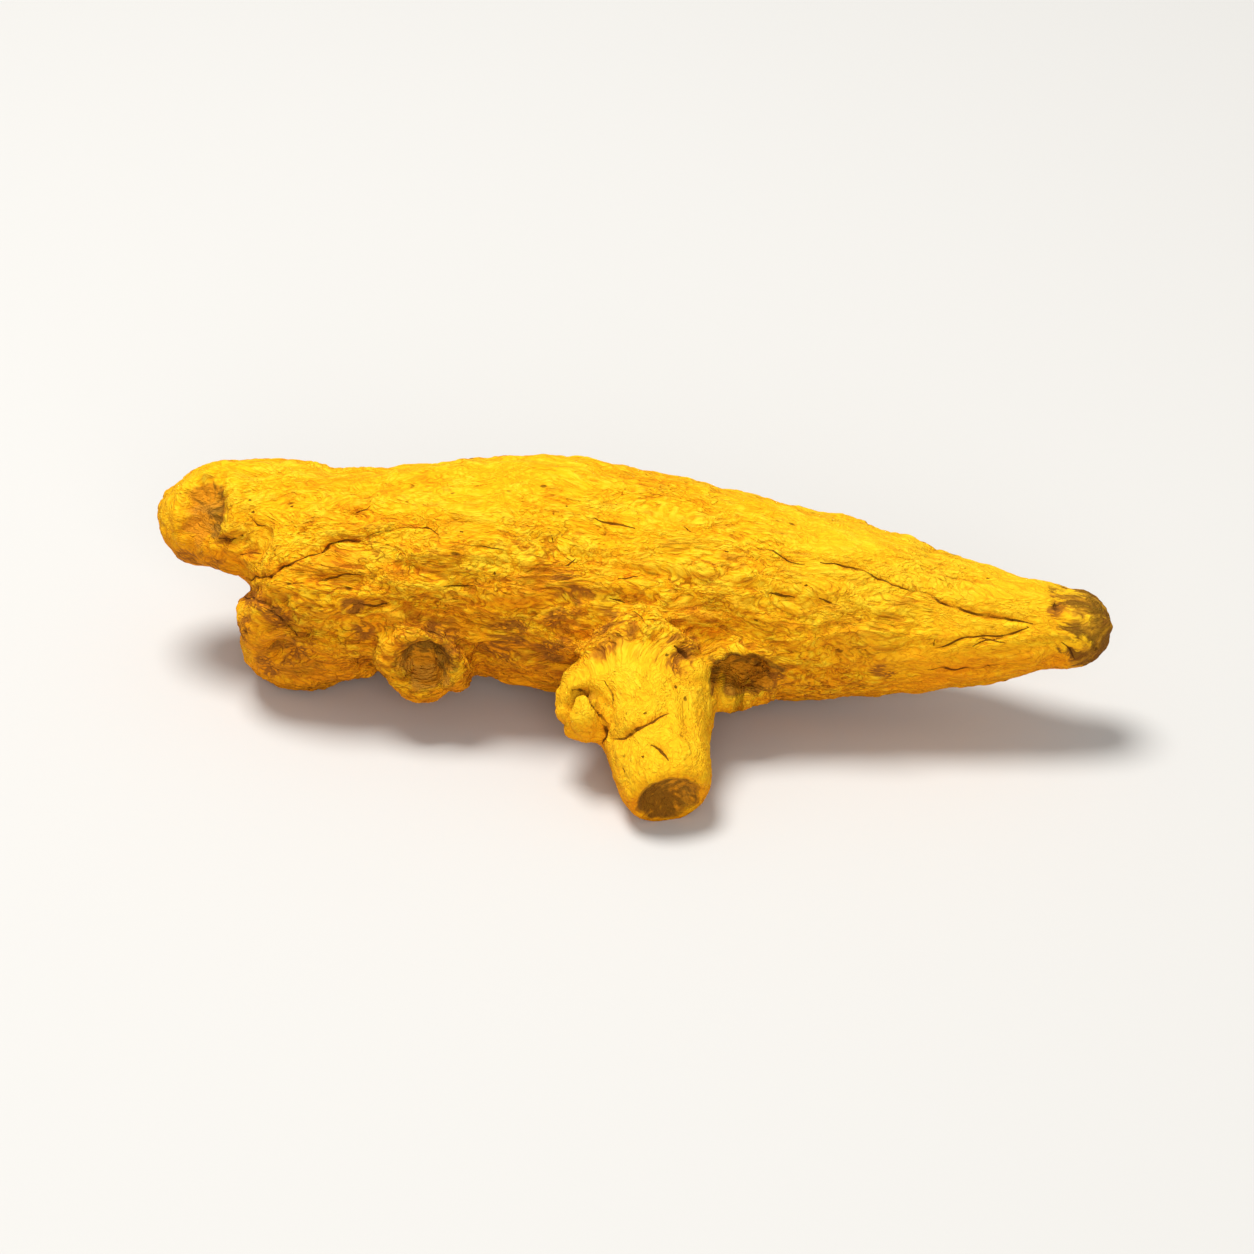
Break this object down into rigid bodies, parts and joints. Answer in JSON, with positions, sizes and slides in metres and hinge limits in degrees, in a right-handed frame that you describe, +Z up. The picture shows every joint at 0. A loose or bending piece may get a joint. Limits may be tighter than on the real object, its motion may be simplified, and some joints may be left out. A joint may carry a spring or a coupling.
{
  "type": "turmeric root",
  "caption": "Dried turmeric finger: a stubby wrinkled body with a broken neck, a short side shoot with a bud, and a tapering tip, lying on its side.",
  "frame": {"origin": "middle of the root's bounding box, on the surface that it lies on", "axes": "+X along the root from its broken neck to its tip, +Z up from the surface, -Y the side that the shoot points to"},
  "size_m": [0.0638, 0.0262, 0.0165],
  "materials": {
    "turmeric_skin": "matte"
  },
  "bodies": {
    "root": {"turmeric_root": "turmeric_skin"}
  },
  "joints": []
}
